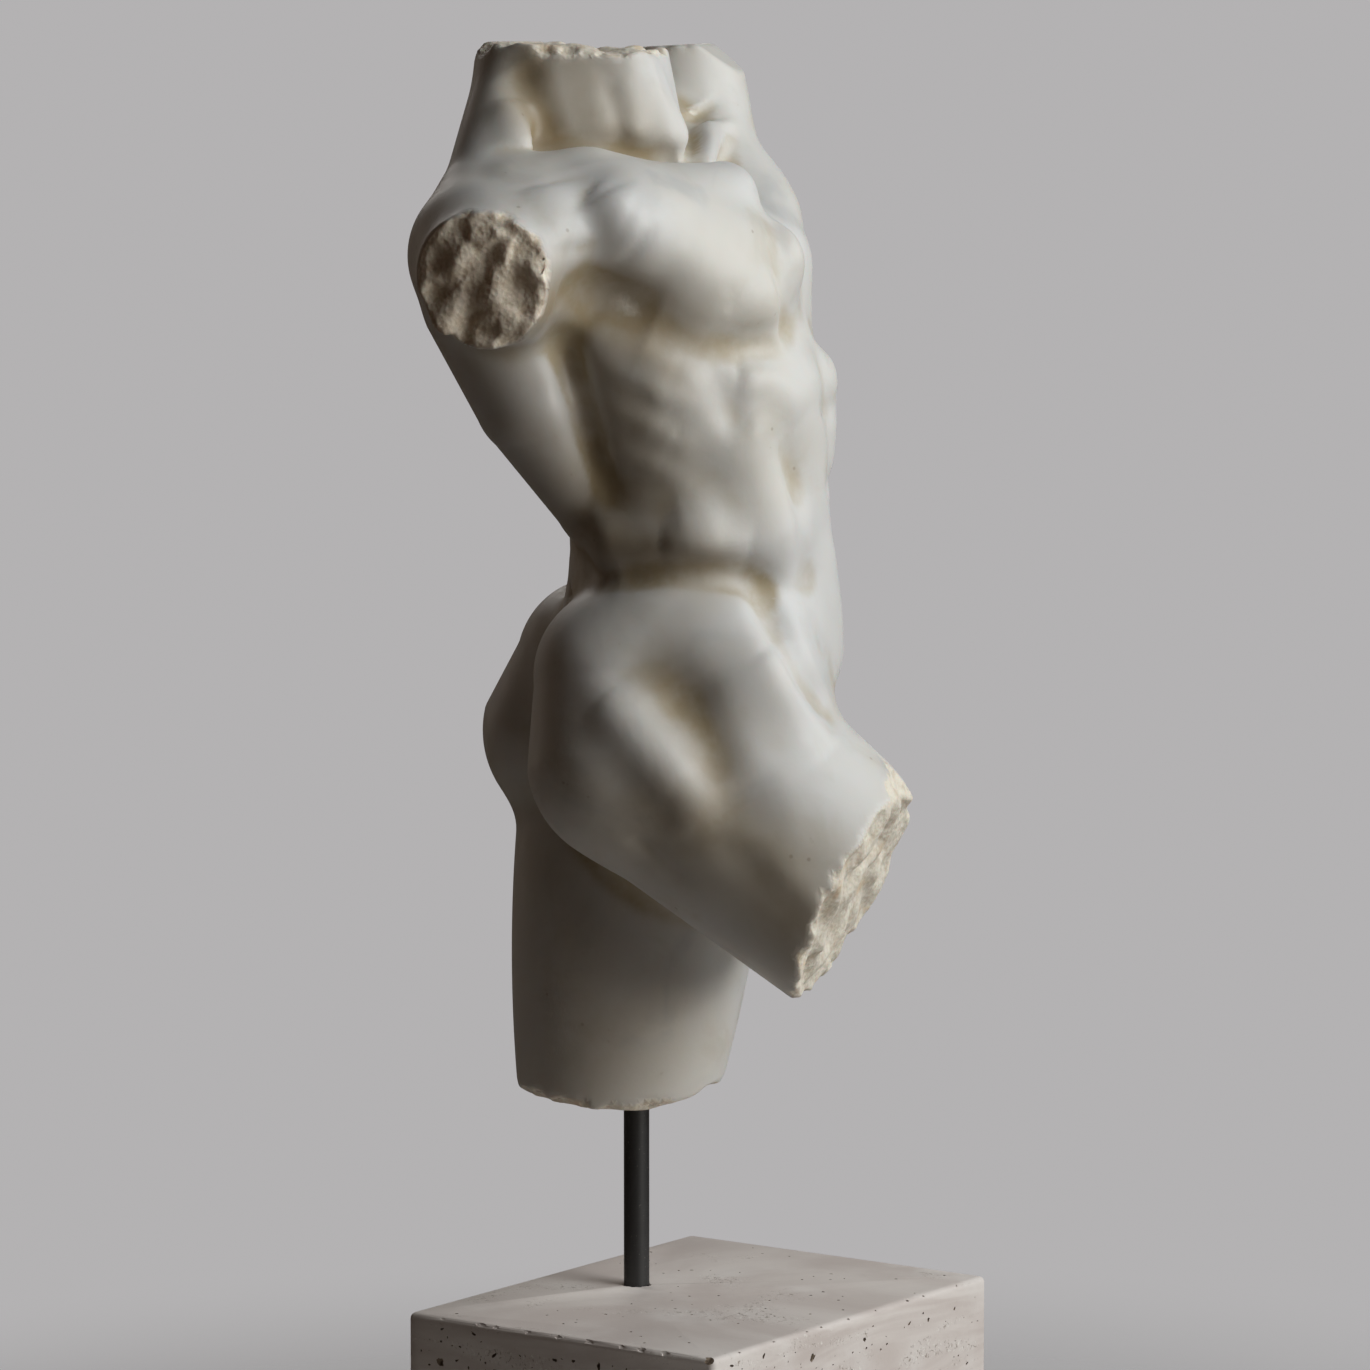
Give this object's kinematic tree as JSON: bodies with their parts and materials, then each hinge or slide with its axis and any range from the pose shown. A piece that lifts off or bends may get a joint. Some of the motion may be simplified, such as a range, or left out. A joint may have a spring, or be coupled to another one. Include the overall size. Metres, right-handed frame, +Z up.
{
  "type": "marble torso sculpture",
  "caption": "Broken standing male torso carved in white marble, held above a plain travertine block by a slim dark steel rod.",
  "frame": {"origin": "middle of the plinth's underside", "axes": "+Z up, X along the plinth's short side, Y along its long side; the torso is turned 35.5 degrees about Z on it"},
  "size_m": [0.3175, 0.3777, 0.957],
  "materials": {
    "marble": "worn polish, warm patina in the hollows, coarse grain on the breaks",
    "rod": "satin black steel",
    "travertine": "honed, with open pores on the sides"
  },
  "bodies": {
    "root": {"marble_torso": "marble", "steel_rod": "rod", "travertine_plinth": "travertine"}
  },
  "joints": []
}
